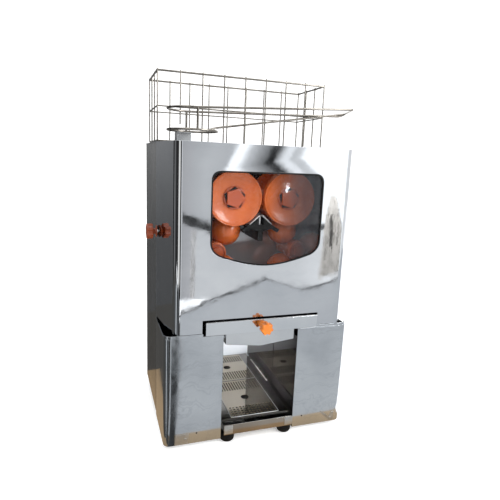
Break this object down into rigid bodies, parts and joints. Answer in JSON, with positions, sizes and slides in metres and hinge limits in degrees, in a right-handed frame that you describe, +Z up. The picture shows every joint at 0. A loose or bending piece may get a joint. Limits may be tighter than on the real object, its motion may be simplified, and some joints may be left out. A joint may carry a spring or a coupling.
{
  "type": "automatic orange juicer",
  "caption": "Counter-top juicer that feeds, halves and squeezes oranges between turning cup and ball drums behind a window, with peel bins at both sides of a cup bay.",
  "frame": {"origin": "on the counter, in the middle of the footprint of the part's bounding box", "axes": "+X to the right of a person who faces the machine, +Y from the front to the back, +Z up"},
  "size_m": [0.456, 0.377, 0.7743],
  "materials": {
    "mirror": "mirror-polished steel sheet",
    "satin": "satin steel sheet",
    "wire": "plated steel wire",
    "orange": "glossy orange plastic",
    "bright_orange": "orange plastic",
    "black": "black plastic",
    "rubber": "black rubber",
    "acrylic": "tinted clear acrylic sheet",
    "steel": "brushed steel",
    "cast": "plain cast metal",
    "motor": "dark painted metal"
  },
  "bodies": {
    "machine": {"rear_casing": "satin", "back_panel": "satin", "top_plate": "satin", "base_frame": "steel", "foot_front_left": "rubber", "foot_front_right": "rubber", "foot_rear_left": "rubber", "foot_rear_right": "rubber", "bay_lining": "mirror", "bearing_wall": "mirror", "cup_bearing_left": "cast", "cup_bearing_right": "cast", "ball_bearing_left": "cast", "ball_bearing_right": "cast", "gear_plate": "steel", "drive_gearbox": "cast", "drive_motor": "motor", "knife_blade": "steel", "knife_holder": "black", "deflector_left": "steel", "deflector_right": "steel", "juice_collector": "steel", "drawer_runners": "steel", "juice_tank": "mirror", "guide_bracket": "satin", "switch_housing": "black", "cable_gland": "black"},
    "cup_rotor_left": {"cup_drum_left": "orange", "cup_cap_left": "orange", "cup_shaft_left": "steel", "cup_gear_left": "cast"},
    "cup_rotor_right": {"cup_drum_right": "orange", "cup_cap_right": "orange", "cup_shaft_right": "steel", "cup_gear_right": "cast"},
    "ball_rotor_left": {"ball_drum_left": "orange", "ball_cap_left": "orange", "ball_shaft_left": "steel", "ball_gear_left": "cast"},
    "ball_rotor_right": {"ball_drum_right": "orange", "ball_cap_right": "orange", "ball_shaft_right": "steel", "ball_gear_right": "cast"},
    "pinion": {"drive_pinion": "steel"},
    "drawer": {"pulp_drawer": "steel", "drawer_front": "mirror"},
    "drawer_knob": {"drawer_knob": "bright_orange"},
    "cover": {"front_cover": "mirror", "window_gasket": "rubber", "window_pane": "acrylic"},
    "side_knob_left": {"side_knob_left": "orange"},
    "side_knob_right": {"side_knob_right": "orange"},
    "bin_left": {"peel_bin_left": "mirror"},
    "bin_right": {"peel_bin_right": "mirror"},
    "pan": {"drip_pan": "mirror"},
    "plate_front": {"drip_plate_front": "mirror"},
    "plate_rear": {"drip_plate_rear": "mirror"},
    "basket": {"wire_basket": "wire"},
    "guide": {"feed_guide": "wire"},
    "rocker": {"power_rocker": "rubber"}
  },
  "joints": [
    {"name": "cup_spin_left", "type": "hinge", "parent": "machine", "child": "cup_rotor_left", "pos_m": [-0.06, -0.0748, 0.526], "axis": [0, 1, 0], "continuous": true},
    {"name": "cup_spin_right", "type": "hinge", "parent": "machine", "child": "cup_rotor_right", "pos_m": [0.06, -0.0748, 0.526], "axis": [0, 1, 0], "continuous": true},
    {"name": "ball_spin_left", "type": "hinge", "parent": "machine", "child": "ball_rotor_left", "pos_m": [-0.093, -0.0748, 0.41063], "axis": [0, 1, 0], "continuous": true},
    {"name": "ball_spin_right", "type": "hinge", "parent": "machine", "child": "ball_rotor_right", "pos_m": [0.093, -0.0748, 0.41063], "axis": [0, 1, 0], "continuous": true},
    {"name": "pinion_spin", "type": "hinge", "parent": "machine", "child": "pinion", "pos_m": [-0.02551, -0.0748, 0.33019], "axis": [0, 1, 0], "continuous": true},
    {"name": "drawer_slide", "type": "slide", "parent": "machine", "child": "drawer", "axis": [0, -1, 0], "range_m": [0, 0.11]},
    {"name": "drawer_knob_turn", "type": "hinge", "parent": "drawer", "child": "drawer_knob", "pos_m": [0, -0.1558, 0.2645], "axis": [0, -1, 0], "continuous": true},
    {"name": "cover_slide", "type": "slide", "parent": "machine", "child": "cover", "axis": [0, -1, 0], "range_m": [0, 0.16]},
    {"name": "side_knob_turn_left", "type": "hinge", "parent": "machine", "child": "side_knob_left", "pos_m": [-0.21, -0.0398, 0.447], "axis": [-1, 0, 0], "continuous": true},
    {"name": "side_knob_turn_right", "type": "hinge", "parent": "machine", "child": "side_knob_right", "pos_m": [0.21, -0.0398, 0.447], "axis": [1, 0, 0], "continuous": true},
    {"name": "bin_slide_left", "type": "slide", "parent": "machine", "child": "bin_left", "axis": [0, -1, 0], "range_m": [0, 0.16]},
    {"name": "bin_slide_right", "type": "slide", "parent": "machine", "child": "bin_right", "axis": [0, -1, 0], "range_m": [0, 0.16]},
    {"name": "pan_lift", "type": "slide", "parent": "machine", "child": "pan", "axis": [0, 0, 1], "range_m": [0, 0.06]},
    {"name": "front_plate_lift", "type": "slide", "parent": "pan", "child": "plate_front", "axis": [0, 0, 1], "range_m": [0, 0.08]},
    {"name": "rear_plate_lift", "type": "slide", "parent": "pan", "child": "plate_rear", "axis": [0, 0, 1], "range_m": [0, 0.08]},
    {"name": "basket_lift", "type": "slide", "parent": "machine", "child": "basket", "axis": [0, 0, 1], "range_m": [0, 0.1]},
    {"name": "guide_lift", "type": "slide", "parent": "machine", "child": "guide", "axis": [0, 0, 1], "range_m": [0, 0.04]},
    {"name": "rocker_tilt", "type": "hinge", "parent": "machine", "child": "rocker", "pos_m": [0.118, 0.1762, 0.236], "axis": [1, 0, 0], "range_deg": [-8, 8]}
  ],
  "couplings": [
    {"joint": "cup_spin_right", "follows": "cup_spin_left", "ratio": -1},
    {"joint": "ball_spin_left", "follows": "cup_spin_left", "ratio": -1},
    {"joint": "ball_spin_right", "follows": "cup_spin_left", "ratio": 1},
    {"joint": "pinion_spin", "follows": "cup_spin_left", "ratio": 1.3333}
  ]
}
